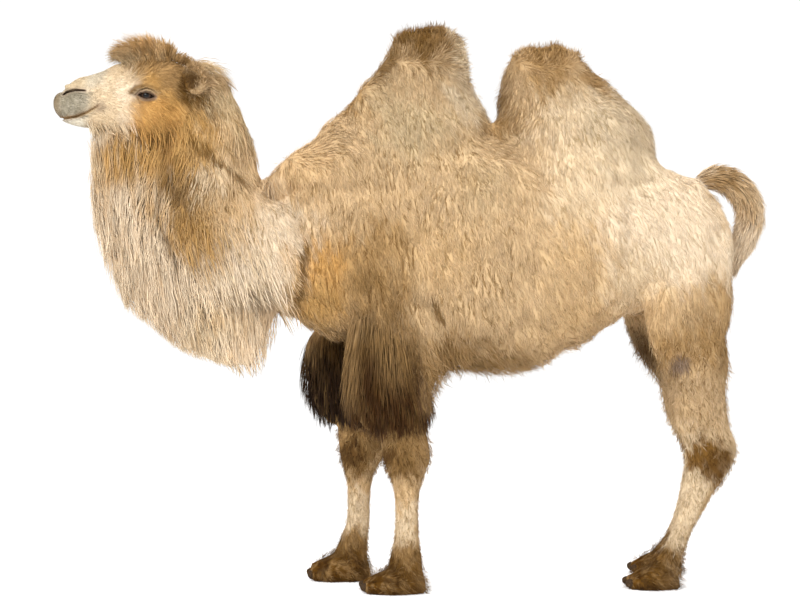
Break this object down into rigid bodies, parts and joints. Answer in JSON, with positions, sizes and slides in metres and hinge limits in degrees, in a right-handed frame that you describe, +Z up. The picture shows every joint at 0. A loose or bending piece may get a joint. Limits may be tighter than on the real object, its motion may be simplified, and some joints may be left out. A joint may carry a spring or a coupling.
{
  "type": "bactrian camel",
  "caption": "Life-size still model of a standing Bactrian camel in winter coat, with two humps, a long beard, dark forearm hair and a raised, curled tail.",
  "frame": {"origin": "on the floor, at the centre of the bounding box's base", "axes": "-X toward the nose, +X toward the tail, +Z up, the animal's left side toward -Y; +X is the longest extent and +Y the shortest"},
  "size_m": [2.7618, 0.6651, 2.1573],
  "materials": {
    "coat": "short dense wool, matt",
    "face": "fine short hair over skin, matt",
    "beard": "long straight hair, matt",
    "dark_hair": "long dark hair, matt",
    "topknot": "bushy hair, matt",
    "foot": "short hair and horny pad, matt",
    "eye": "wet, glossy",
    "nail": "worn horn"
  },
  "bodies": {
    "root": {"beard": "beard", "ear_left": "face", "ear_right": "face", "eye_left": "eye", "eye_right": "eye", "fore_foot_left": "foot", "fore_foot_left_nail_inner": "nail", "fore_foot_left_nail_outer": "nail", "fore_foot_right": "foot", "fore_foot_right_nail_inner": "nail", "fore_foot_right_nail_outer": "nail", "fore_leg_left_lower": "coat", "fore_leg_left_upper": "coat", "fore_leg_right_lower": "coat", "fore_leg_right_upper": "coat", "forearm_hair_left": "dark_hair", "forearm_hair_right": "dark_hair", "head": "face", "hind_foot_left": "foot", "hind_foot_left_nail_inner": "nail", "hind_foot_left_nail_outer": "nail", "hind_foot_right": "foot", "hind_foot_right_nail_inner": "nail", "hind_foot_right_nail_outer": "nail", "hind_leg_left_cannon": "coat", "hind_leg_left_gaskin": "coat", "hind_leg_left_thigh": "coat", "hind_leg_right_cannon": "coat", "hind_leg_right_gaskin": "coat", "hind_leg_right_thigh": "coat", "hump_front": "coat", "hump_rear": "coat", "neck": "coat", "tail": "coat", "topknot": "topknot", "trunk": "coat"}
  },
  "joints": []
}
